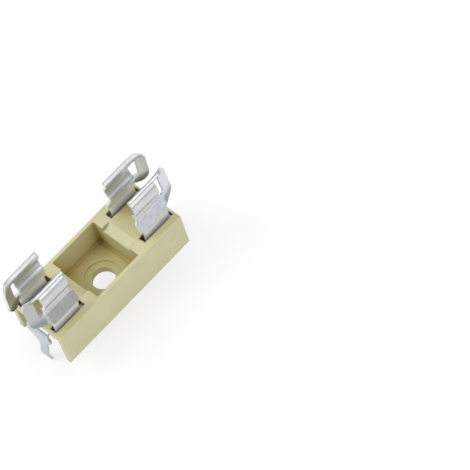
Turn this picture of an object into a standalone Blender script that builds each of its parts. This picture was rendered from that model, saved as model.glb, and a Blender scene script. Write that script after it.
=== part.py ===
"""Open fuse holder for 5 x 20 mm fuses on a circuit board.

One moulded base and two clips folded from sheet metal.  Metres, +Z up, board face of the base at z = 0,
fuse along X.
"""
import math

import bmesh
import bpy

MM = 0.001

# The fuse, and how the clips grip it.
FUSE_CAP_DIAMETER = 5.2 * MM
GRIP = 0.1 * MM
FUSE_ABOVE_BASE = 5.45 * MM

# Driving dimensions of the clips.
SHEET = 0.4 * MM
CLEARANCE = 0.3 * MM
BEND_RADIUS = 0.4 * MM
CREASE_INSIDE_RADIUS = 0.15 * MM
ARM_LENGTH = 4.35 * MM
ARM_LEAN = 0.25 * MM
RIDGE_LEAN = 0.15 * MM
RIDGE_RISE = 1.3 * MM
CORNER_LEAN = 0.45 * MM
FLAT_BULGE = 0.4 * MM
WAIST_RISE = 0.55 * MM
BARREL_HALF_HEIGHT = 1.5 * MM
BARREL_BULGE = 0.8 * MM
LIP_LEAN = 0.55 * MM
LIP_RISE = 0.6 * MM
WINDOW_WIDTH = 0.85 * MM
EAR_STRIP_WIDTH = 1.5 * MM
EAR_DROP = 1.7 * MM
EAR_TOE_IN = 0.5 * MM
EAR_LOWER_FLAT = 0.4 * MM
EAR_UPPER_FLAT = 0.1 * MM
PIN_OUTSET = 0.2 * MM
PIN_LENGTH = 3.3 * MM
PIN_WIDTH = 1.3 * MM
PIN_KINK = 0.38 * MM
PIN_KINK_DEPTH = 1.45 * MM
STRIP_START = 0.05 * MM
STRIP_NECK_INSET = 0.25 * MM
STRIP_BELLY_WIDTH = 5.1 * MM
SHOULDER_HEIGHT = 1.2 * MM
SHOULDER_RISE = 0.75 * MM
BELLY_DROP = 0.6 * MM

# Driving dimensions of the base.
POCKET_HEIGHT = 4.8 * MM
BRIDGE_THICKNESS = 1.2 * MM
WELL_LENGTH = 7.5 * MM
WELL_END_WALL = 1.5 * MM
WELL_FLOOR = 1.45 * MM
WELL_RIM = 0.55 * MM
SIDE_WALL = 0.85 * MM
SLOT_SIDE_WALL = 0.25 * MM
SLOT_SETBACK = 0.3 * MM
SLOT_INNER_GAP = 0.3 * MM
SLOT_END_GAP = 0.55 * MM
SLOT_END_WALL = 0.35 * MM
HOLE_DIAMETER = 3.2 * MM
HOLE_RING_DIAMETER = 5.0 * MM
HOLE_RING_DEPTH = 0.25 * MM
HOLE_CHAMFER = 0.08 * MM
LEDGE_LENGTH = 1.3 * MM
LEDGE_INSET = 0.05 * MM
LEDGE_DEPTH = 0.8 * MM
BASE_EDGE = 0.12 * MM

# Across the holder: the fuse sets the clips, and the clips set the base.
BARREL_CROWN = FUSE_CAP_DIAMETER / 2 - GRIP + SHEET / 2
WAIST_HALF_GAP = BARREL_CROWN - BARREL_BULGE
ARM_SPREAD = BARREL_CROWN + ARM_LEAN
WEB_HALF_WIDTH = ARM_SPREAD - 2.1 * BEND_RADIUS
STRIP_NECK_WIDTH = 2 * (WEB_HALF_WIDTH - STRIP_NECK_INSET)
SLOT_INNER = ARM_SPREAD - SHEET / 2 - SLOT_INNER_GAP
SLOT_OUTER = ARM_SPREAD + SHEET / 2 + RIDGE_LEAN / 3 + CLEARANCE
LEDGE_WIDTH = 2 * (SLOT_INNER - LEDGE_INSET)
POCKET_WIDTH = 2 * (SLOT_OUTER + SLOT_SIDE_WALL)
BASE_WIDTH = POCKET_WIDTH + 2 * SIDE_WALL
WELL_WIDTH = BASE_WIDTH - 2 * WELL_RIM

# Along the holder, from the middle of the well to the pins.
POCKET_START = WELL_LENGTH / 2 + WELL_END_WALL
SLOT_START = POCKET_START + SLOT_SETBACK
ARM_START = SLOT_START + SLOT_END_GAP
ARM_END = ARM_START + ARM_LENGTH
SLOT_END = ARM_END + CLEARANCE
BASE_LENGTH = 2 * (SLOT_END + SLOT_END_WALL)
PIN_PLANE = BASE_LENGTH / 2 + PIN_OUTSET
STRIP_BEND_RADIUS = PIN_PLANE - ARM_END - STRIP_START
EAR_REACH = ARM_END + WINDOW_WIDTH + EAR_STRIP_WIDTH
EAR_LOWER_RADIUS = EAR_STRIP_WIDTH - EAR_LOWER_FLAT
EAR_UPPER_RADIUS = EAR_STRIP_WIDTH - EAR_UPPER_FLAT

# Upwards from the board.
BASE_HEIGHT = POCKET_HEIGHT + BRIDGE_THICKNESS
WEB_HEIGHT = POCKET_HEIGHT - CLEARANCE - SHEET / 2
FUSE_AXIS_HEIGHT = BASE_HEIGHT + FUSE_ABOVE_BASE
RIDGE = (ARM_SPREAD + RIDGE_LEAN, BASE_HEIGHT + RIDGE_RISE)
CORNER = (WAIST_HALF_GAP + CORNER_LEAN, FUSE_AXIS_HEIGHT - BARREL_HALF_HEIGHT - WAIST_RISE)
LIP = (WAIST_HALF_GAP + LIP_LEAN, FUSE_AXIS_HEIGHT + BARREL_HALF_HEIGHT + LIP_RISE)
EAR_BOTTOM = CORNER[1] - EAR_DROP

PLASTIC = ("ivory_plastic", (0.60, 0.56, 0.34), 0.45, 0.0)
TIN_PLATE = ("tin_plated_sheet", (0.78, 0.79, 0.80), 0.28, 1.0)


def clear_scene():
    for item in list(bpy.data.objects):
        bpy.data.objects.remove(item, do_unlink=True)


def new_collection(name):
    group = bpy.data.collections.new(name)
    bpy.context.scene.collection.children.link(group)
    return group


def make_material(name, colour, roughness, metallic):
    material = bpy.data.materials.new(name)
    material.use_nodes = True
    shader = material.node_tree.nodes["Principled BSDF"]
    shader.inputs["Base Color"].default_value = (*colour, 1.0)
    shader.inputs["Roughness"].default_value = roughness
    shader.inputs["Metallic"].default_value = metallic
    return material


def object_from_bmesh(shape, name, group):
    mesh = bpy.data.meshes.new(name)
    shape.to_mesh(mesh)
    shape.free()
    item = bpy.data.objects.new(name, mesh)
    group.objects.link(item)
    return item


def block(name, low, high, group):
    """A rectangular block between two opposite corners."""
    shape = bmesh.new()
    bmesh.ops.create_cube(shape, size=1.0)
    size = [b - a for a, b in zip(low, high)]
    middle = [(a + b) / 2 for a, b in zip(low, high)]
    bmesh.ops.scale(shape, vec=size, verts=shape.verts)
    bmesh.ops.translate(shape, vec=middle, verts=shape.verts)
    return object_from_bmesh(shape, name, group)


def turned(name, profile, group):
    """A solid turned about the Z axis from a profile of (radius, height) that starts and ends on it."""
    shape = bmesh.new()
    points = [shape.verts.new((radius, 0, height)) for radius, height in profile]
    line = [shape.edges.new(pair) for pair in zip(points, points[1:])]
    bmesh.ops.spin(
        shape, geom=points + line, cent=(0, 0, 0), axis=(0, 0, 1), angle=2 * math.pi, steps=40,
        use_merge=True)
    bmesh.ops.remove_doubles(shape, verts=shape.verts, dist=0.001 * MM)
    bmesh.ops.recalc_face_normals(shape, faces=shape.faces)
    return object_from_bmesh(shape, name, group)


def hole_cutter(group):
    """The screw hole and the shallow ring round it, each with a small chamfer at its mouth."""
    beyond = 0.3 * MM
    hole = HOLE_DIAMETER / 2
    ring = HOLE_RING_DIAMETER / 2
    floor = WELL_FLOOR - HOLE_RING_DEPTH
    return turned("hole_cutter", [
        (0, -beyond), (hole + HOLE_CHAMFER + beyond, -beyond), (hole, HOLE_CHAMFER),
        (hole, floor - HOLE_CHAMFER), (hole + HOLE_CHAMFER, floor), (ring, floor),
        (ring, WELL_FLOOR - HOLE_CHAMFER), (ring + HOLE_CHAMFER + beyond, WELL_FLOOR + beyond),
        (0, WELL_FLOOR + beyond)], group)


def ramp(name, side, group):
    """The sloping ledge that leads from a bridge into the well."""
    edge = WELL_LENGTH / 2
    over = 0.4 * MM
    slope = LEDGE_DEPTH / LEDGE_LENGTH
    profile = [
        (edge - over, BASE_HEIGHT + over),
        (edge - over, BASE_HEIGHT - LEDGE_DEPTH - over * slope),
        (edge + LEDGE_LENGTH, BASE_HEIGHT),
        (edge + LEDGE_LENGTH + over, BASE_HEIGHT + over * slope),
        (edge + LEDGE_LENGTH, BASE_HEIGHT + over),
    ]
    shape = bmesh.new()
    corners = [shape.verts.new((side * x, -LEDGE_WIDTH / 2, z)) for x, z in profile]
    face = shape.faces.new(corners)
    moved = bmesh.ops.extrude_face_region(shape, geom=[face])["geom"]
    bmesh.ops.translate(
        shape, vec=(0, LEDGE_WIDTH, 0), verts=[v for v in moved if isinstance(v, bmesh.types.BMVert)])
    bmesh.ops.recalc_face_normals(shape, faces=shape.faces)
    return object_from_bmesh(shape, name, group)


def cut(body, cutter):
    cutter.hide_render = True
    cutter.display_type = "WIRE"
    modifier = body.modifiers.new(cutter.name, "BOOLEAN")
    modifier.operation = "DIFFERENCE"
    modifier.solver = "EXACT"
    modifier.object = cutter


def round_edges(body, width, segments):
    modifier = body.modifiers.new("edges", "BEVEL")
    modifier.width = width
    modifier.segments = segments
    modifier.limit_method = "ANGLE"
    modifier.angle_limit = math.radians(40)
    modifier.use_clamp_overlap = False


def build_base(group, cutters):
    half = BASE_LENGTH / 2
    beyond = 1.0 * MM
    body = block(
        "holder_base", (-half, -BASE_WIDTH / 2, 0), (half, BASE_WIDTH / 2, BASE_HEIGHT), group)
    cut(body, block(
        "well_cutter", (-WELL_LENGTH / 2, -WELL_WIDTH / 2, WELL_FLOOR),
        (WELL_LENGTH / 2, WELL_WIDTH / 2, BASE_HEIGHT + beyond), cutters))
    for side, label in ((-1, "left"), (1, "right")):
        ends = sorted((side * POCKET_START, side * (half + beyond)))
        cut(body, block(
            "pocket_cutter_" + label, (ends[0], -POCKET_WIDTH / 2, -beyond),
            (ends[1], POCKET_WIDTH / 2, POCKET_HEIGHT), cutters))
        cut(body, ramp("ledge_cutter_" + label, side, cutters))
        for arm, arm_label in ((-1, "front"), (1, "back")):
            ends_x = sorted((side * SLOT_START, side * SLOT_END))
            ends_y = sorted((arm * SLOT_INNER, arm * SLOT_OUTER))
            cut(body, block(
                "slot_cutter_" + label + "_" + arm_label, (ends_x[0], ends_y[0], POCKET_HEIGHT - beyond),
                (ends_x[1], ends_y[1], BASE_HEIGHT + beyond), cutters))
    round_edges(body, BASE_EDGE, 2)
    cut(body, hole_cutter(cutters))
    return body


def rounded_path(points, radii, steps=5):
    """A path through the points with each inner corner rounded by its radius."""
    path = [points[0]]
    last_corner = len(points) - 3
    for i, (before, here, after, radius) in enumerate(zip(points, points[1:], points[2:], radii)):
        into = (before[0] - here[0], before[1] - here[1])
        out = (after[0] - here[0], after[1] - here[1])
        into_length = math.hypot(*into)
        out_length = math.hypot(*out)
        into = (into[0] / into_length, into[1] / into_length)
        out = (out[0] / out_length, out[1] / out_length)
        angle = math.acos(max(-1.0, min(1.0, into[0] * out[0] + into[1] * out[1])))
        if radius == 0 or angle > math.pi - 1e-4:
            path.append(here)
            continue
        room = min(
            into_length * (0.95 if i == 0 else 0.49), out_length * (0.95 if i == last_corner else 0.49))
        back = min(radius / math.tan(angle / 2), room)
        radius = back * math.tan(angle / 2)
        middle = (into[0] + out[0], into[1] + out[1])
        middle_length = math.hypot(*middle)
        distance = radius / math.sin(angle / 2)
        centre = (
            here[0] + middle[0] / middle_length * distance,
            here[1] + middle[1] / middle_length * distance)
        first = math.atan2(here[1] + into[1] * back - centre[1], here[0] + into[0] * back - centre[0])
        last = math.atan2(here[1] + out[1] * back - centre[1], here[0] + out[0] * back - centre[0])
        turn = (last - first + math.pi) % (2 * math.pi) - math.pi
        for step in range(steps + 1):
            a = first + turn * step / steps
            path.append((centre[0] + radius * math.cos(a), centre[1] + radius * math.sin(a)))
    path.append(points[-1])
    return path


def barrel_points(steps=10):
    """The barrel of one arm, from the waist up to the groove under the lip."""
    half = BARREL_HALF_HEIGHT
    radius = (half * half + BARREL_BULGE * BARREL_BULGE) / (2 * BARREL_BULGE)
    centre = WAIST_HALF_GAP + BARREL_BULGE - radius
    spread = math.asin(half / radius)
    points = []
    for i in range(steps + 1):
        a = -spread + 2 * spread * i / steps
        points.append((centre + radius * math.cos(a), FUSE_AXIS_HEIGHT + radius * math.sin(a)))
    return points


def arm_path():
    """Centre line of one arm from the edge of the web up to the corner, as (distance from middle, height)."""
    points = [
        (WEB_HALF_WIDTH, WEB_HEIGHT),
        (ARM_SPREAD, WEB_HEIGHT),
        (ARM_SPREAD, BASE_HEIGHT - 0.2 * MM),
        RIDGE,
        CORNER,
    ]
    return rounded_path(points, [BEND_RADIUS, 0.8 * MM, 0.45 * MM])


def upper_path():
    """Centre line of one arm from the bottom of the ear up to the edge of the lip."""
    ridge_to_corner = (EAR_BOTTOM - RIDGE[1]) / (CORNER[1] - RIDGE[1])
    first = (RIDGE[0] + (CORNER[0] - RIDGE[0]) * ridge_to_corner, EAR_BOTTOM)
    barrel = barrel_points()
    crease = CREASE_INSIDE_RADIUS + SHEET / 2
    low = rounded_path([first, CORNER, barrel[0], barrel[2]], [crease, crease], 4)
    high = rounded_path([barrel[-3], barrel[-1], LIP], [crease], 4)
    return low[:-1] + barrel[2:-2] + high[1:]


def lower_path():
    """Centre line of one arm from the web up to the bottom of the ear."""
    kept = [point for point in arm_path()[:-1] if point[1] < EAR_BOTTOM - 0.01 * MM]
    return kept + [upper_path()[0]]


def with_heights(path, heights):
    """The path with a point added at each of the heights."""
    result = list(path)
    for height in heights:
        for i, (a, b) in enumerate(zip(result, result[1:])):
            if a[1] + 0.05 * MM < height < b[1] - 0.05 * MM:
                part = (height - a[1]) / (b[1] - a[1])
                result.insert(i + 1, (a[0] + (b[0] - a[0]) * part, height))
                break
    return result


def ear_heights():
    """Heights at which the round corners of the ear need a row."""
    heights = []
    for i in range(1, 6):
        rise = 1 - math.cos(math.radians(18 * i))
        heights.append(EAR_BOTTOM + EAR_LOWER_RADIUS * rise)
        heights.append(LIP[1] - EAR_UPPER_RADIUS * rise)
    return heights


def ear_edge(height):
    """How far the ear reaches along X at a height: its outline has a round corner below and above."""
    for radius, distance in (
            (EAR_LOWER_RADIUS, height - EAR_BOTTOM), (EAR_UPPER_RADIUS, LIP[1] - height)):
        if distance < radius:
            return EAR_REACH - radius + math.sqrt(max(0.0, radius ** 2 - (radius - distance) ** 2))
    return EAR_REACH


def window_heights():
    return CORNER[1] + 0.1 * MM, FUSE_AXIS_HEIGHT + BARREL_HALF_HEIGHT - 0.05 * MM


def ear_point(distance, height, x):
    """The ear stays straight beside the barrel and toes in towards the end of the fuse."""
    bottom, top = window_heights()
    if bottom < height < top:
        part = (height - bottom) / (top - bottom)
        path = upper_path()
        distance = distance_at(path, bottom) * (1 - part) + distance_at(path, top) * part
    inward = EAR_TOE_IN * ((x - ARM_END) / (EAR_REACH - ARM_END)) ** 2
    return distance - inward


def distance_at(path, height):
    for a, b in zip(path, path[1:]):
        if a[1] <= height <= b[1]:
            return a[0] + (b[0] - a[0]) * (height - a[1]) / (b[1] - a[1])
    return path[-1][0]


def smooth_step(low, high, value):
    part = max(0.0, min(1.0, (value - low) / (high - low)))
    return part * part * (3 - 2 * part)


def flat_ends():
    """Heights between which the flat widens above the ridge and narrows again below the corner."""
    return (RIDGE[1] - 0.2 * MM, RIDGE[1] + 0.3 * MM), (CORNER[1] - 0.7 * MM, CORNER[1])


def inner_edge(height):
    """Where the arm starts along X at a height: the flat below the barrel is a little wider."""
    widens, narrows = flat_ends()
    return ARM_START - FLAT_BULGE * (smooth_step(*widens, height) - smooth_step(*narrows, height))


def flat_heights():
    """Heights at which the round ends of the flat need a row."""
    heights = []
    for low, high in flat_ends():
        heights += [low + (high - low) * i / 4 for i in range(5)]
    return heights


def add_grid(shape, rows, skip=None):
    """Joins rows of points into faces, except where skip says so."""
    made = [[shape.verts.new(point) for point in row] for row in rows]
    for i, (low, high) in enumerate(zip(made, made[1:])):
        for j in range(min(len(low), len(high)) - 1):
            if skip and skip(i, j):
                continue
            shape.faces.new((low[j], low[j + 1], high[j + 1], high[j]))


def add_arm(shape, side):
    """One spring arm; side is -1 for the front arm and 1 for the back arm."""
    add_grid(shape, [
        [(x, side * distance, height) for x in (inner_edge(height), ARM_END)]
        for distance, height in with_heights(lower_path(), flat_heights())])
    bottom, top = window_heights()
    path = with_heights(upper_path(), ear_heights() + flat_heights() + [bottom, top])
    rows = []
    for distance, height in path:
        row = [(inner_edge(height), side * distance, height), (ARM_END, side * distance, height)]
        first = ARM_END + WINDOW_WIDTH
        last = ear_edge(height)
        for i in range(5):
            x = first + (last - first) * i / 4
            row.append((x, side * ear_point(distance, height, x), height))
        rows.append(row)

    def in_window(i, j):
        return j == 1 and path[i][1] > bottom - 0.01 * MM and path[i + 1][1] < top + 0.01 * MM

    add_grid(shape, rows, in_window)


def strip_outline():
    """Half width of the pin strip against height, from the bend down to the tip."""
    half = PIN_WIDTH / 2
    belly = STRIP_BELLY_WIDTH / 2
    neck = STRIP_NECK_WIDTH / 2
    low = WEB_HEIGHT - STRIP_BEND_RADIUS
    points = [
        (neck, low), (neck, low - 0.1 * MM), (belly, low - BELLY_DROP),
        (belly, SHOULDER_HEIGHT + SHOULDER_RISE), (half, SHOULDER_HEIGHT),
        (half, -PIN_LENGTH + 0.45 * MM), (half * 0.55, -PIN_LENGTH)]
    return rounded_path(points, [0.4 * MM, 0.5 * MM, 0.7 * MM, 0.7 * MM, 0.2 * MM], 4)


def kink_path():
    """Centre line of the pin strip below the bend, as (x, height): it kinks outwards to hold in the board."""
    points = [
        (PIN_PLANE, WEB_HEIGHT - STRIP_BEND_RADIUS), (PIN_PLANE, -0.25 * MM),
        (PIN_PLANE + PIN_KINK, -PIN_KINK_DEPTH), (PIN_PLANE - 0.1 * MM, -PIN_LENGTH)]
    return rounded_path(points, [0.6 * MM, 0.5 * MM], 4)


def value_at(path, height):
    """First value of a falling path at a height."""
    for a, b in zip(path, path[1:]):
        if a[1] >= height >= b[1]:
            if a[1] == b[1]:
                return a[0]
            return a[0] + (b[0] - a[0]) * (height - a[1]) / (b[1] - a[1])
    return path[-1][0]


def add_web_and_pin(shape):
    start = lower_path()[0][0]
    neck = STRIP_NECK_WIDTH / 2
    across = (-neck, -neck / 3, neck / 3, neck)
    add_grid(shape, [[(x, y, WEB_HEIGHT) for y in (-start, *across, start)] for x in (ARM_START, ARM_END)])
    rows = [[(ARM_END, y, WEB_HEIGHT) for y in across]]
    for i in range(6):
        a = math.radians(18 * i)
        x = PIN_PLANE - STRIP_BEND_RADIUS + STRIP_BEND_RADIUS * math.sin(a)
        z = WEB_HEIGHT - STRIP_BEND_RADIUS + STRIP_BEND_RADIUS * math.cos(a)
        rows.append([(x, y, z) for y in across])
    outline = strip_outline()
    kink = kink_path()
    heights = sorted({round(z, 6) for _, z in outline[1:] + kink[1:]}, reverse=True)
    spaced = [WEB_HEIGHT - STRIP_BEND_RADIUS]
    for height in heights:
        if spaced[-1] - height > 0.04 * MM:
            spaced.append(height)
    for height in spaced[1:]:
        half = value_at(outline, height)
        x = value_at(kink, height)
        rows.append([(x, half * part, height) for part in (-1, -1 / 3, 1 / 3, 1)])
    add_grid(shape, rows)


def build_clip(name, side, group):
    shape = bmesh.new()
    add_web_and_pin(shape)
    for arm in (-1, 1):
        add_arm(shape, arm)
    bmesh.ops.remove_doubles(shape, verts=shape.verts, dist=0.001 * MM)
    bmesh.ops.scale(shape, vec=(side, 1, 1), verts=shape.verts)
    bmesh.ops.recalc_face_normals(shape, faces=shape.faces)
    clip = object_from_bmesh(shape, name, group)
    modifier = clip.modifiers.new("sheet", "SOLIDIFY")
    modifier.thickness = SHEET
    modifier.offset = 0
    modifier.use_even_offset = True
    return clip


def smooth(item, angle):
    mesh = item.data
    mesh.shade_smooth()
    mesh.set_sharp_from_angle(angle=math.radians(angle))


def main():
    clear_scene()
    group = new_collection("pcb_fuse_holder")
    cutters = new_collection("cutters")
    base = build_base(group, cutters)
    base.data.materials.append(make_material(*PLASTIC))
    tin = make_material(*TIN_PLATE)
    for name, side in (("clip_left", -1), ("clip_right", 1)):
        clip = build_clip(name, side, group)
        clip.data.materials.append(tin)
        smooth(clip, 35)
    smooth(base, 30)


main()
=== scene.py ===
"""The looks of the open fuse holder: finer clips, materials, floor, light and camera."""
import math

import bmesh
import bpy
from mathutils import Matrix, Vector


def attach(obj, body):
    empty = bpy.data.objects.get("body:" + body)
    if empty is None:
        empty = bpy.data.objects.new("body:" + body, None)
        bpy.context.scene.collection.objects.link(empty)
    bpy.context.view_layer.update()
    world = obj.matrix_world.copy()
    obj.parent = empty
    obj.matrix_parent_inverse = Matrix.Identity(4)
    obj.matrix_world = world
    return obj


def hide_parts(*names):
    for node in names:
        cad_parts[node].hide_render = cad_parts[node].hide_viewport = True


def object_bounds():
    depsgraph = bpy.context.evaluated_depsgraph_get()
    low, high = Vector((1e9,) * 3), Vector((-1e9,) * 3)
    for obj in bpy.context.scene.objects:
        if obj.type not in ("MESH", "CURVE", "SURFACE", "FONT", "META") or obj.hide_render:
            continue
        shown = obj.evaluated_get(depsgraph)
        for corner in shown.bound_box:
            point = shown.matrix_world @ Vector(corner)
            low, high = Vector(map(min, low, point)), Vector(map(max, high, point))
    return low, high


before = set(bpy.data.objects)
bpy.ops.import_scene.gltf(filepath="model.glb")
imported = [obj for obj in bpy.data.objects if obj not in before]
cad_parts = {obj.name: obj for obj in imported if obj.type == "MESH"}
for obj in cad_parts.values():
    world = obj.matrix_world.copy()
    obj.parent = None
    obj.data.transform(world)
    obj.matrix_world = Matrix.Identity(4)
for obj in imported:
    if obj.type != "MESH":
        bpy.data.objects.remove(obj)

CAD_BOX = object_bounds()
MM = 0.001

# Sizes of the clips and the base, as in the CAD source.
SHEET = 0.4 * MM
BEND_RADIUS = 0.4 * MM
ARM_SPREAD = 2.95 * MM
WEB_HALF_WIDTH = 2.11 * MM
WEB_HEIGHT = 4.3 * MM
BASE_HEIGHT = 6.0 * MM
RIDGE = (3.1 * MM, 7.3 * MM)
CORNER = (2.35 * MM, 9.4 * MM)
LIP = (2.45 * MM, 13.55 * MM)
FUSE_AXIS_HEIGHT = 11.45 * MM
BARREL_HALF_HEIGHT = 1.5 * MM
BARREL_BULGE = 0.8 * MM
WAIST_HALF_GAP = 1.9 * MM
CREASE_RADIUS = 0.35 * MM
ARM_START = 6.1 * MM
ARM_END = 10.45 * MM
FLAT_BULGE = 0.4 * MM
WINDOW_WIDTH = 0.85 * MM
EAR_REACH = 12.8 * MM
EAR_BOTTOM = 7.7 * MM
EAR_UPPER_RADIUS = 1.4 * MM
EAR_TOE_IN = 0.5 * MM
PIN_PLANE = 11.3 * MM
STRIP_BEND_RADIUS = 0.8 * MM
STRIP_NECK = 1.86 * MM
PIN_WIDTH = 1.3 * MM
PIN_LENGTH = 3.3 * MM
PIN_KINK = 0.38 * MM
PIN_KINK_DEPTH = 1.45 * MM
HOLE_RING_RADIUS = 2.5 * MM
RIDGE_ROUNDING = 0.8 * MM
CORNER_ROUNDING = 0.45 * MM
STRIP_ROUNDINGS = [0.4 * MM, 0.5 * MM, 0.7 * MM, 0.7 * MM, 0.2 * MM]
KINK_ROUNDINGS = [0.6 * MM, 0.5 * MM]

# Sizes in which the scene's clips differ from the CAD source: the ears' lower corners and
# inward bend, the pin strip's outline, and the rounded cut edges and window corners.
EAR_LOWER_RADIUS = 1.3 * MM
EAR_CURL = 0.8 * MM
EAR_CURL_HEIGHT = 2.3 * MM
STRIP_BELLY = 2.1 * MM
SHOULDER_HEIGHT = 0.9 * MM
SHOULDER_RISE = 1.5 * MM
BELLY_DROP = 0.5 * MM
WINDOW_CORNER = 0.3 * MM
CUT_EDGE = 0.08 * MM

# How finely the clips are divided.
ARM_COLUMNS = 12
WINDOW_COLUMNS = 3
EAR_COLUMNS = 10
STRIP_COLUMNS = 12
LONGEST_STEP = 0.12 * MM
WELD = 0.002 * MM
SHARP_ANGLE = math.radians(50)


def rounded_path(points, radii, steps=10):
    """A path through the points with each inner corner rounded by its radius."""
    path = [points[0]]
    last_corner = len(points) - 3
    for i, (before, here, after, radius) in enumerate(zip(points, points[1:], points[2:], radii)):
        into = (before[0] - here[0], before[1] - here[1])
        out = (after[0] - here[0], after[1] - here[1])
        into_length = math.hypot(*into)
        out_length = math.hypot(*out)
        into = (into[0] / into_length, into[1] / into_length)
        out = (out[0] / out_length, out[1] / out_length)
        angle = math.acos(max(-1.0, min(1.0, into[0] * out[0] + into[1] * out[1])))
        if radius == 0 or angle > math.pi - 1e-4:
            path.append(here)
            continue
        room = min(
            into_length * (0.95 if i == 0 else 0.49), out_length * (0.95 if i == last_corner else 0.49))
        back = min(radius / math.tan(angle / 2), room)
        radius = back * math.tan(angle / 2)
        middle = (into[0] + out[0], into[1] + out[1])
        middle_length = math.hypot(*middle)
        distance = radius / math.sin(angle / 2)
        centre = (
            here[0] + middle[0] / middle_length * distance,
            here[1] + middle[1] / middle_length * distance)
        first = math.atan2(here[1] + into[1] * back - centre[1], here[0] + into[0] * back - centre[0])
        last = math.atan2(here[1] + out[1] * back - centre[1], here[0] + out[0] * back - centre[0])
        turn = (last - first + math.pi) % (2 * math.pi) - math.pi
        for step in range(steps + 1):
            a = first + turn * step / steps
            path.append((centre[0] + radius * math.cos(a), centre[1] + radius * math.sin(a)))
    path.append(points[-1])
    return path


def barrel_points(steps=10):
    half = BARREL_HALF_HEIGHT
    radius = (half * half + BARREL_BULGE * BARREL_BULGE) / (2 * BARREL_BULGE)
    centre = WAIST_HALF_GAP + BARREL_BULGE - radius
    spread = math.asin(half / radius)
    points = []
    for i in range(steps + 1):
        a = -spread + 2 * spread * i / steps
        points.append((centre + radius * math.cos(a), FUSE_AXIS_HEIGHT + radius * math.sin(a)))
    return points


def arm_path():
    points = [
        (WEB_HALF_WIDTH, WEB_HEIGHT), (ARM_SPREAD, WEB_HEIGHT), (ARM_SPREAD, BASE_HEIGHT - 0.2 * MM),
        RIDGE, CORNER]
    return rounded_path(points, [BEND_RADIUS, RIDGE_ROUNDING, CORNER_ROUNDING])


def upper_path():
    """The arm's profile above the bottom of the ear: half the flat, the barrel and the lip."""
    part = (EAR_BOTTOM - RIDGE[1]) / (CORNER[1] - RIDGE[1])
    first = (RIDGE[0] + (CORNER[0] - RIDGE[0]) * part, EAR_BOTTOM)
    barrel = barrel_points(40)
    low = rounded_path([first, CORNER, barrel[0], barrel[8]], [CREASE_RADIUS, CREASE_RADIUS], 8)
    high = rounded_path([barrel[-9], barrel[-1], LIP], [CREASE_RADIUS], 8)
    return low[:-1] + barrel[8:-8] + high[1:]


def lower_path():
    kept = [point for point in arm_path()[:-1] if point[1] < EAR_BOTTOM - 0.01 * MM]
    return kept + [upper_path()[0]]


def refined(path, longest):
    """The path with its long stretches divided."""
    result = [path[0]]
    for a, b in zip(path, path[1:]):
        count = max(1, math.ceil(math.dist(a, b) / longest))
        for i in range(1, count + 1):
            result.append((a[0] + (b[0] - a[0]) * i / count, a[1] + (b[1] - a[1]) * i / count))
    return result


def with_heights(path, heights, spacing=0.02 * MM):
    """The path with a point at each of the heights, in place of any that is too near to it."""
    wanted = sorted(heights)
    result = []
    for a, b in zip(path, path[1:]):
        result.append(a)
        for height in wanted:
            if a[1] < height <= b[1]:
                part = (height - a[1]) / (b[1] - a[1])
                result.append((a[0] + (b[0] - a[0]) * part, height))
    result.append(path[-1])
    kept = [result[0]]
    for point in result[1:-1]:
        special = any(abs(point[1] - height) < 1e-9 for height in wanted)
        if math.dist(point, kept[-1]) > spacing:
            kept.append(point)
        elif special and len(kept) > 1:
            kept[-1] = point
    if math.dist(kept[-1], result[-1]) < spacing:
        kept.pop()
    return kept + [result[-1]]


def smooth_step(low, high, value):
    part = max(0.0, min(1.0, (value - low) / (high - low)))
    return part * part * (3 - 2 * part)


def inner_edge(height):
    """The arm's cut edge near the middle of the holder: the flat under the barrel is a little wider."""
    widens = smooth_step(RIDGE[1] - 0.2 * MM, RIDGE[1] + 0.3 * MM, height)
    narrows = smooth_step(CORNER[1] - 0.7 * MM, CORNER[1], height)
    return ARM_START - FLAT_BULGE * (widens - narrows)


def ear_edge(height):
    """How far out the ear reaches at a height."""
    for radius, distance in (
            (EAR_LOWER_RADIUS, height - EAR_BOTTOM), (EAR_UPPER_RADIUS, LIP[1] - height)):
        if distance < radius:
            return EAR_REACH - radius + math.sqrt(max(0.0, radius ** 2 - (radius - distance) ** 2))
    return EAR_REACH


WINDOW = (CORNER[1] + 0.1 * MM, FUSE_AXIS_HEIGHT + BARREL_HALF_HEIGHT - 0.05 * MM)


def window_inset(height):
    """How far the window's sides come in at a height, for its rounded corners.

    Below the window it fades out, so that the columns meet those of the lower arm."""
    if height < WINDOW[0]:
        return WINDOW_CORNER * max(0.0, height - EAR_BOTTOM) / (WINDOW[0] - EAR_BOTTOM)
    nearest = max(0.0, min(height - WINDOW[0], WINDOW[1] - height))
    if nearest >= WINDOW_CORNER:
        return 0.0
    return WINDOW_CORNER - math.sqrt(WINDOW_CORNER ** 2 - (WINDOW_CORNER - nearest) ** 2)


def distance_at(path, height):
    for a, b in zip(path, path[1:]):
        if a[1] <= height <= b[1]:
            return a[0] + (b[0] - a[0]) * (height - a[1]) / (b[1] - a[1])
    return path[-1][0]


def add_grid(shape, rows, skip=None):
    """Joins rows of points into faces, except where skip says so."""
    made = [[shape.verts.new(point) for point in row] for row in rows]
    for i, (low, high) in enumerate(zip(made, made[1:])):
        for j in range(len(low) - 1):
            if skip and skip(i, j):
                continue
            shape.faces.new((low[j], low[j + 1], high[j + 1], high[j]))


def spread(first, last, count):
    return [first + (last - first) * i / count for i in range(count + 1)]


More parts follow.
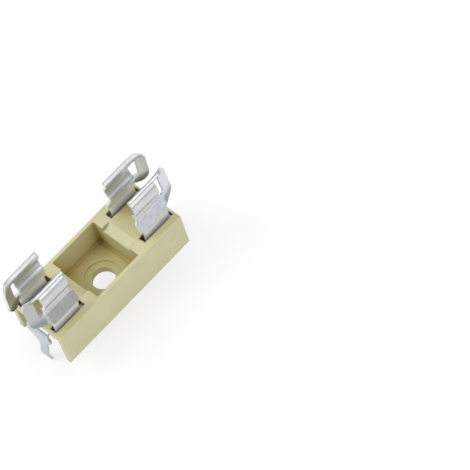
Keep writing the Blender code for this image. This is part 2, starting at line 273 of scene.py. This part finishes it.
def corner_heights():
    """Heights that the rounded corners of the ears and windows need a row at."""
    heights = []
    for i in range(10):
        rise = 1 - math.cos(math.radians(10 * i))
        heights.append(EAR_BOTTOM + EAR_LOWER_RADIUS * rise)
        heights.append(LIP[1] - EAR_UPPER_RADIUS * rise)
    for i in range(7):
        rise = 1 - math.cos(math.radians(15 * i))
        heights.append(WINDOW[0] + WINDOW_CORNER * rise)
        heights.append(WINDOW[1] - WINDOW_CORNER * rise)
    return [h for h in heights if EAR_BOTTOM < h < LIP[1]]


def add_arm(shape, side):
    """One arm with its window and ear, as a surface without thickness."""
    add_grid(shape, [
        [(x, side * distance, height) for x in spread(inner_edge(height), ARM_END, ARM_COLUMNS)]
        for distance, height in refined(lower_path(), LONGEST_STEP)])
    path = with_heights(refined(upper_path(), LONGEST_STEP), corner_heights())
    low_distance = distance_at(path, WINDOW[0])
    high_distance = distance_at(path, WINDOW[1])
    rows = []
    for distance, height in path:
        inset = window_inset(height)
        beside = distance
        if WINDOW[0] < height < WINDOW[1]:
            part = (height - WINDOW[0]) / (WINDOW[1] - WINDOW[0])
            beside = low_distance * (1 - part) + high_distance * part
        row = [(x, side * distance, height) for x in spread(inner_edge(height), ARM_END + inset, ARM_COLUMNS)]
        first = ARM_END + WINDOW_WIDTH - inset
        across = spread(ARM_END + inset, first, WINDOW_COLUMNS)[1:-1]
        curl = EAR_CURL * max(0.0, 1 - (height - EAR_BOTTOM) / EAR_CURL_HEIGHT) ** 2
        for x in across + spread(first, ear_edge(height), EAR_COLUMNS):
            along = (x - ARM_END) / (EAR_REACH - ARM_END)
            inward = EAR_TOE_IN * along ** 2 + curl * (1 - (1 - along) ** 2)
            row.append((x, side * (beside - inward), height))
        rows.append(row)

    def in_window(i, j):
        inside = path[i][1] > WINDOW[0] - 0.001 * MM and path[i + 1][1] < WINDOW[1] + 0.001 * MM
        return inside and ARM_COLUMNS <= j < ARM_COLUMNS + WINDOW_COLUMNS

    add_grid(shape, rows, in_window)


def strip_outline():
    """Half width of the pin strip against height, from the bend down to the tip."""
    half = PIN_WIDTH / 2
    low = WEB_HEIGHT - STRIP_BEND_RADIUS
    points = [
        (STRIP_NECK, low), (STRIP_NECK, low - 0.1 * MM), (STRIP_BELLY, low - BELLY_DROP),
        (STRIP_BELLY, SHOULDER_HEIGHT + SHOULDER_RISE), (half, SHOULDER_HEIGHT),
        (half, -PIN_LENGTH + 0.45 * MM), (half * 0.55, -PIN_LENGTH)]
    return rounded_path(points, STRIP_ROUNDINGS, 8)


def kink_path():
    points = [
        (PIN_PLANE, WEB_HEIGHT - STRIP_BEND_RADIUS), (PIN_PLANE, -0.25 * MM),
        (PIN_PLANE + PIN_KINK, -PIN_KINK_DEPTH), (PIN_PLANE - 0.1 * MM, -PIN_LENGTH)]
    return rounded_path(points, KINK_ROUNDINGS, 10)


def value_at(path, height):
    """First value of a falling path at a height."""
    for a, b in zip(path, path[1:]):
        if a[1] >= height >= b[1]:
            if a[1] == b[1]:
                return a[0]
            return a[0] + (b[0] - a[0]) * (height - a[1]) / (b[1] - a[1])
    return path[-1][0]


def add_web_and_pin(shape):
    start = WEB_HALF_WIDTH
    across = spread(-STRIP_NECK, STRIP_NECK, STRIP_COLUMNS)
    add_grid(shape, [
        [(x, y, WEB_HEIGHT) for y in (-start, *across, start)]
        for x in spread(ARM_START, ARM_END, ARM_COLUMNS)])
    rows = [[(ARM_END, y, WEB_HEIGHT) for y in across]]
    for i in range(13):
        a = math.radians(7.5 * i)
        x = PIN_PLANE - STRIP_BEND_RADIUS + STRIP_BEND_RADIUS * math.sin(a)
        z = WEB_HEIGHT - STRIP_BEND_RADIUS + STRIP_BEND_RADIUS * math.cos(a)
        rows.append([(x, y, z) for y in across])
    outline = strip_outline()
    kink = kink_path()
    heights = sorted({round(z, 6) for _, z in outline[1:] + kink[1:]}, reverse=True)
    spaced = [WEB_HEIGHT - STRIP_BEND_RADIUS]
    for height in heights:
        if spaced[-1] - height > 0.03 * MM:
            while spaced[-1] - height > 0.2 * MM:
                spaced.append(spaced[-1] - 0.15 * MM)
            spaced.append(height)
    for height in spaced[1:]:
        half = value_at(outline, height)
        x = value_at(kink, height)
        rows.append([(x, y, height) for y in spread(-half, half, STRIP_COLUMNS)])
    add_grid(shape, rows)


def thickened(middle):
    """A closed sheet with rounded cut edges, from its middle surface."""
    middle.normal_update()
    half = SHEET / 2
    outward = {}
    for edge in middle.edges:
        if len(edge.link_faces) != 1:
            continue
        face = edge.link_faces[0]
        a, b = edge.verts
        along = (b.co - a.co).normalized()
        away = along.cross(face.normal).normalized()
        if away.dot(edge.verts[0].co - face.calc_center_median()) < 0:
            away = -away
        for vert in (a, b):
            outward.setdefault(vert, []).append(away)
    rim = {}
    for vert, parts in outward.items():
        total = sum(parts, Vector())
        rim[vert] = total * (2 / max(0.4, total.length_squared)) if len(parts) > 1 else total
    sheet = bmesh.new()
    layers = {}
    for vert in middle.verts:
        normal = vert.normal
        back = rim.get(vert, Vector()) * CUT_EDGE
        layers[vert] = [
            sheet.verts.new(vert.co - back + normal * half), sheet.verts.new(vert.co - back - normal * half)]
        if vert in rim:
            ring = []
            for side in (1, -1):
                for step in (30, 60, 90) if side == 1 else (90, 60, 30):
                    a = math.radians(step)
                    lift = side * (half - CUT_EDGE + CUT_EDGE * math.cos(a))
                    ring.append(sheet.verts.new(
                        vert.co - back * (1 - math.sin(a)) + normal * lift))
            layers[vert].append(ring)
    for face in middle.faces:
        sheet.faces.new([layers[v][0] for v in face.verts])
        sheet.faces.new([layers[v][1] for v in reversed(face.verts)])
    for edge in middle.edges:
        if len(edge.link_faces) != 1:
            continue
        loop = edge.link_loops[0]
        a, b = loop.vert, loop.link_loop_next.vert
        line_a = [layers[a][0], *layers[a][2], layers[a][1]]
        line_b = [layers[b][0], *layers[b][2], layers[b][1]]
        for i in range(len(line_a) - 1):
            sheet.faces.new((line_a[i], line_a[i + 1], line_b[i + 1], line_b[i]))
    return sheet


def build_clip(name, side):
    shape = bmesh.new()
    add_web_and_pin(shape)
    for arm in (-1, 1):
        add_arm(shape, arm)
    bmesh.ops.remove_doubles(shape, verts=shape.verts, dist=WELD)
    bmesh.ops.scale(shape, vec=(side, 1, 1), verts=shape.verts)
    bmesh.ops.recalc_face_normals(shape, faces=shape.faces)
    sheet = thickened(shape)
    bmesh.ops.recalc_face_normals(sheet, faces=sheet.faces)
    mesh = bpy.data.meshes.new(name)
    sheet.to_mesh(mesh)
    shape.free()
    sheet.free()
    clip = bpy.data.objects.new(name, mesh)
    bpy.context.scene.collection.objects.link(clip)
    mesh.shade_smooth()
    mesh.set_sharp_from_angle(angle=SHARP_ANGLE)
    return clip


def nodes_of(material):
    material.use_nodes = True
    tree = material.node_tree
    return tree, tree.nodes["Principled BSDF"]


def noise(tree, scale, detail=3.0, roughness=0.55, stretch=(1, 1, 1)):
    place = tree.nodes.new("ShaderNodeTexCoord")
    mapping = tree.nodes.new("ShaderNodeMapping")
    mapping.inputs["Scale"].default_value = stretch
    texture = tree.nodes.new("ShaderNodeTexNoise")
    texture.inputs["Scale"].default_value = scale
    texture.inputs["Detail"].default_value = detail
    texture.inputs["Roughness"].default_value = roughness
    tree.links.new(place.outputs["Object"], mapping.inputs["Vector"])
    tree.links.new(mapping.outputs["Vector"], texture.inputs["Vector"])
    return texture.outputs["Fac"]


def ramp(tree, value, stops):
    node = tree.nodes.new("ShaderNodeValToRGB")
    ramp_stops = node.color_ramp.elements
    while len(ramp_stops) < len(stops):
        ramp_stops.new(0.5)
    for stop, (position, colour) in zip(ramp_stops, stops):
        stop.position = position
        stop.color = (*colour, 1.0) if len(colour) == 3 else (colour[0],) * 3 + (1.0,)
    tree.links.new(value, node.inputs["Fac"])
    return node.outputs["Color"]


def bump(tree, heights, shader):
    """Stacks bumps of (value, strength, depth) on the shader."""
    below = None
    for value, strength, depth in heights:
        node = tree.nodes.new("ShaderNodeBump")
        node.inputs["Strength"].default_value = strength
        node.inputs["Distance"].default_value = depth
        tree.links.new(value, node.inputs["Height"])
        if below:
            tree.links.new(below, node.inputs["Normal"])
        below = node.outputs["Normal"]
    tree.links.new(below, shader.inputs["Normal"])


def math_node(tree, operation, *values):
    """A Math node with sockets linked or set, whichever the values are."""
    node = tree.nodes.new("ShaderNodeMath")
    node.operation = operation
    for socket, value in zip(node.inputs, values):
        if isinstance(value, (int, float)):
            socket.default_value = value
        else:
            tree.links.new(value, socket)
    return node.outputs[0]


def product(tree, *values):
    """The values multiplied together, from the first to the last."""
    result = values[0]
    for value in values[1:]:
        result = math_node(tree, "MULTIPLY", result, value)
    return result


def position(tree):
    """The X, Y and Z outputs for the place on the object."""
    place = tree.nodes.new("ShaderNodeTexCoord")
    here = tree.nodes.new("ShaderNodeSeparateXYZ")
    tree.links.new(place.outputs["Object"], here.inputs[0])
    return here.outputs


def occlusion(tree, samples, distance):
    node = tree.nodes.new("ShaderNodeAmbientOcclusion")
    node.samples = samples
    node.inputs["Distance"].default_value = distance
    return node.outputs["AO"]


def band(tree, value, low, high, soft):
    """1 between two values, with soft ends."""
    masks = []
    for edge, sign in ((low, 1), (high, -1)):
        node = tree.nodes.new("ShaderNodeMapRange")
        node.interpolation_type = "SMOOTHSTEP"
        node.inputs["From Min"].default_value = edge - sign * soft
        node.inputs["From Max"].default_value = edge + sign * soft
        tree.links.new(value, node.inputs["Value"])
        masks.append(node.outputs["Result"])
    return math_node(tree, "MULTIPLY", *masks)


def mix_colour(tree, factor, first, second, way="MIX"):
    node = tree.nodes.new("ShaderNodeMix")
    node.data_type = "RGBA"
    node.blend_type = way
    if isinstance(factor, float):
        node.inputs["Factor"].default_value = factor
    else:
        tree.links.new(factor, node.inputs["Factor"])
    for socket, value in ((node.inputs[6], first), (node.inputs[7], second)):
        if isinstance(value, tuple):
            socket.default_value = (*value, 1.0)
        else:
            tree.links.new(value, socket)
    return node.outputs[2]


def plastic_material():
    """Moulded plastic, with painted shade: warmer and darker in hollows such as the well and the slots, and
    dark lines along concave edges.
    """
    material = bpy.data.materials.new("ivory_moulded_plastic")
    tree, shader = nodes_of(material)
    cloud = noise(tree, 350.0, 4.0)
    colour = ramp(tree, cloud, [(0.3, (0.600, 0.578, 0.335)), (0.7, (0.645, 0.626, 0.380))])
    # Painted shade: ambient occlusion within 5.5 mm darkens and warms the colour in hollows, most in the well
    # and the slots.
    painted_hollow_shade = ramp(tree, occlusion(tree, 12, 5.5 * MM), [
        (0.05, (0.20, 0.13, 0.05)), (0.25, (0.42, 0.32, 0.16)), (0.42, (0.88, 0.76, 0.50)),
        (0.7, (0.93, 0.91, 0.84)), (0.95, (1.0, 1.0, 1.0))])
    colour = mix_colour(tree, 1.0, colour, painted_hollow_shade, "MULTIPLY")
    # Painted shade: ambient occlusion within 0.9 mm draws thin dark lines along concave edges, less of it
    # around the hole.
    painted_crease_shade = ramp(tree, occlusion(tree, 8, 0.9 * MM), [(0.35, (0.60, 0.50, 0.36)), (0.85, (1.0, 1.0, 1.0))])
    here = position(tree)
    around = math_node(tree, "SQRT", math_node(
        tree, "ADD", math_node(tree, "POWER", here["X"], 2.0), math_node(tree, "POWER", here["Y"], 2.0)))
    ring = band(tree, around, 0.0, HOLE_RING_RADIUS + 0.4 * MM, 0.15 * MM)
    strength = math_node(tree, "SUBTRACT", 1.0, product(tree, ring, 0.8))
    colour = mix_colour(tree, strength, colour, painted_crease_shade, "MULTIPLY")
    tree.links.new(colour, shader.inputs["Base Color"])
    fine = noise(tree, 9000.0, 2.0)
    rough = ramp(tree, fine, [(0.3, (0.42,)), (0.7, (0.56,))])
    tree.links.new(rough, shader.inputs["Roughness"])
    shader.inputs["Subsurface Weight"].default_value = 0.12
    shader.inputs["Subsurface Radius"].default_value = (1.0, 0.8, 0.4)
    shader.inputs["Subsurface Scale"].default_value = 0.6 * MM
    bump(tree, [(cloud, 0.15, 0.02 * MM), (fine, 0.25, 0.004 * MM)], shader)
    return material


def metal_material(name, painted_reflection_tone):
    """Matt tin plate, with painted light: a painted reflection on the flats and the ears' outer faces,
    painted shade on the lower ears, and a painted highlight on the feet at the slots, the inward faces and
    the cut edges.
    """
    material = bpy.data.materials.new(name)
    tree, shader = nodes_of(material)
    here = position(tree)
    place = tree.nodes.new("ShaderNodeTexCoord")
    facing = tree.nodes.new("ShaderNodeSeparateXYZ")
    tree.links.new(place.outputs["Normal"], facing.inputs[0])
    above_web = WEB_HEIGHT + 0.4 * MM

    # Where on the clip: side of the sheet, cut edge or face, and how far from the middle.
    outward = math_node(tree, "GREATER_THAN", product(tree, here["Y"], facing.outputs["Y"]), 0.0)
    inward = math_node(tree, "SUBTRACT", 1.0, outward)
    sheet_face = math_node(tree, "LESS_THAN", math_node(tree, "ABSOLUTE", facing.outputs["X"]), 0.5)
    length = math_node(tree, "ABSOLUTE", here["X"])
    on_clip = math_node(tree, "GREATER_THAN", here["Z"], BASE_HEIGHT)
    tail = math_node(tree, "SUBTRACT", 1.0, on_clip)

    # Masks of the parts where light and shade are painted.
    flat = product(
        tree, band(tree, here["Z"], RIDGE[1] + 0.05 * MM, CORNER[1] - 0.1 * MM, 0.12 * MM), outward,
        sheet_face, band(tree, length, 0.0, ARM_END + 0.1 * MM, 0.35 * MM))
    foot = product(tree, band(tree, here["Z"], above_web, RIDGE[1] - 0.05 * MM, 0.12 * MM), outward)
    inside = product(
        tree, band(tree, here["Z"], above_web, CORNER[1] + 0.45 * MM, 0.2 * MM), inward,
        band(tree, length, 0.0, ARM_END + 0.1 * MM, 0.2 * MM))
    cut_edge = product(tree, math_node(tree, "SUBTRACT", 1.0, sheet_face), on_clip, 0.8)
    # Where the painted highlight goes.
    painted_highlight = math_node(tree, "MAXIMUM", math_node(tree, "MAXIMUM", foot, inside), cut_edge)
    # Where the painted reflection of the ears goes: their outer faces.
    ear = product(tree, band(tree, length, ARM_END + 0.4 * MM, 1.0, 0.3 * MM), outward, on_clip)
    # Where the painted shade of the lower ears goes.
    stop = product(
        tree, band(tree, here["Z"], 0.0, EAR_BOTTOM + 1.4 * MM, 0.6 * MM),
        product(tree, on_clip, band(tree, length, ARM_END + 0.35 * MM, 1.0, 0.3 * MM)))

    cloud = noise(tree, 700.0, 4.0)
    mottle = noise(tree, 1600.0, 2.0, 0.7)
    grain = noise(tree, 5000.0, 3.0, 0.6, (0.12, 1.0, 1.0))
    colour = ramp(tree, cloud, [(0.3, (0.58, 0.60, 0.605)), (0.7, (0.70, 0.71, 0.70))])
    # Painted reflection on the flats: the clip's painted tone, mottled at random.
    shade = ramp(tree, mottle, [(0.35, tuple(0.82 * value for value in painted_reflection_tone)), (0.65, painted_reflection_tone)])
    colour = mix_colour(tree, flat, colour, shade)
    colour = mix_colour(tree, product(tree, tail, 0.6), colour, (0.50, 0.54, 0.57))
    # Painted highlight: near white on the feet at the slots, the inward faces and the cut edges.
    colour = mix_colour(tree, painted_highlight, colour, (0.91, 0.94, 0.95))
    # Painted reflection on the ears' outer faces, in the clip's painted tone made a little lighter.
    colour = mix_colour(tree, product(tree, ear, 0.8), colour, tuple(1.15 * value for value in painted_reflection_tone))
    # Painted shade: the lower ears dark grey.
    colour = mix_colour(tree, stop, colour, (0.30, 0.30, 0.31))
    tree.links.new(colour, shader.inputs["Base Color"])
    # The painted highlight also makes these parts less metallic, so that they look lighter.
    metallic = math_node(tree, "SUBTRACT", 0.85, product(tree, painted_highlight, 0.55))
    tree.links.new(metallic, shader.inputs["Metallic"])
    rough = ramp(tree, grain, [(0.3, (0.25,)), (0.7, (0.37,))])
    tree.links.new(rough, shader.inputs["Roughness"])
    bump(tree, [(cloud, 0.2, 0.02 * MM), (grain, 0.2, 0.004 * MM)], shader)
    return material


plastic = plastic_material()
# Both clips are the same tin plate; only the tone of the painted reflection on their flats and ears differs,
# darker on the left clip.
metals = {
    "clip_left": metal_material("tin_plate_darker_painted_reflection", (0.405, 0.41, 0.405)),
    "clip_right": metal_material("tin_plate", (0.62, 0.64, 0.70))}

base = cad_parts["holder_base"]
base.data.materials.clear()
base.data.materials.append(plastic)

for name, side in (("clip_left", -1), ("clip_right", 1)):
    clip = build_clip(name + "_sheet", side)
    clip.data.materials.append(metals[name])
    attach(clip, "root")
    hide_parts(name)

# Floor, light and camera. The floor touches the lowest point of the solids.
FLOOR_HEIGHT = CAD_BOX[0][2]
FLOOR_HALF_SIZE = 1.5
FLOOR_SHOWN_WHITE = 0.7
FLOOR_WHITE_STRENGTH = 1.04
SKY_STRENGTH = 0.88
AIM = (0, 0, 0.005)
# The camera that was fitted to the photo: its place, its line of sight and its up direction.
CAMERA_PLACE = (-98.254 * MM, -198.643 * MM, 341.493 * MM)
CAMERA_FORWARD = Vector((0.2789, 0.46673, -0.83927))
CAMERA_UP = Vector((0.6902, 0.51024, 0.51312))
CAMERA_LENS = 245.106
shape = bmesh.new()
bmesh.ops.create_grid(shape, x_segments=1, y_segments=1, size=FLOOR_HALF_SIZE)
bmesh.ops.translate(shape, vec=(0, 0, FLOOR_HEIGHT), verts=shape.verts)
mesh = bpy.data.meshes.new("floor")
shape.to_mesh(mesh)
shape.free()
floor = bpy.data.objects.new("floor", mesh)
bpy.context.scene.collection.objects.link(floor)
paper = bpy.data.materials.new("white_paper")
tree, shader = nodes_of(paper)
shader.inputs["Roughness"].default_value = 0.9
shader.inputs["Specular IOR Level"].default_value = 0.1
paper_colour = ramp(tree, noise(tree, 60.0), [(0.3, (0.92,) * 3), (0.7, (0.94,) * 3)])
tree.links.new(paper_colour, shader.inputs["Base Color"])
light_path = tree.nodes.new("ShaderNodeLightPath")
seen = math_node(
    tree, "MAXIMUM", light_path.outputs["Is Transmission Ray"],
    math_node(tree, "MAXIMUM", light_path.outputs["Is Camera Ray"], light_path.outputs["Is Glossy Ray"]))
white = tree.nodes.new("ShaderNodeEmission")
white.inputs["Strength"].default_value = FLOOR_WHITE_STRENGTH
blend = tree.nodes.new("ShaderNodeMixShader")
tree.links.new(product(tree, seen, FLOOR_SHOWN_WHITE), blend.inputs["Fac"])
tree.links.new(shader.outputs[0], blend.inputs[1])
tree.links.new(white.outputs[0], blend.inputs[2])
tree.links.new(blend.outputs[0], tree.nodes["Material Output"].inputs["Surface"])
floor.data.materials.append(paper)

world = bpy.data.worlds.new("studio")
bpy.context.scene.world = world
world.use_nodes = True
tree = world.node_tree
background = tree.nodes["Background"]
place = tree.nodes.new("ShaderNodeTexCoord")
apart = tree.nodes.new("ShaderNodeSeparateXYZ")
tree.links.new(place.outputs["Generated"], apart.inputs[0])
sky = ramp(tree, apart.outputs["Z"], [
    (0.0, (0.36, 0.36, 0.40)), (0.35, (0.50, 0.50, 0.53)), (0.7, (0.95, 0.95, 0.96)), (1.0, (1.0, 1.0, 1.0))])
tree.links.new(sky, background.inputs["Color"])
background.inputs["Strength"].default_value = SKY_STRENGTH


def lamp(name, place, aim, size, power, colour=(1, 1, 1)):
    light = bpy.data.lights.new(name, "AREA")
    light.shape = "RECTANGLE"
    light.size = size[0]
    light.size_y = size[1]
    light.energy = power
    light.color = colour
    item = bpy.data.objects.new(name, light)
    bpy.context.scene.collection.objects.link(item)
    item.location = place
    item.rotation_euler = (Vector(aim) - Vector(place)).to_track_quat("-Z", "Y").to_euler()


lamp("key", (-0.22, 0.17, 0.32), AIM, (0.22, 0.22), 0.62)
lamp("fill", (0.05, -0.30, 0.26), AIM, (0.30, 0.30), 0.28)

camera_data = bpy.data.cameras.new("camera")
camera = bpy.data.objects.new("camera", camera_data)
bpy.context.scene.collection.objects.link(camera)
camera_data.sensor_width = 36.0
camera_data.lens = CAMERA_LENS
camera_data.clip_start = 0.01
right = CAMERA_FORWARD.cross(CAMERA_UP).normalized()
up = right.cross(CAMERA_FORWARD).normalized()
rows = [(right[i], up[i], -CAMERA_FORWARD[i], CAMERA_PLACE[i]) for i in range(3)]
camera.matrix_world = Matrix((*rows, (0, 0, 0, 1)))
bpy.context.scene.camera = camera
bpy.context.scene.view_settings.view_transform = "Standard"
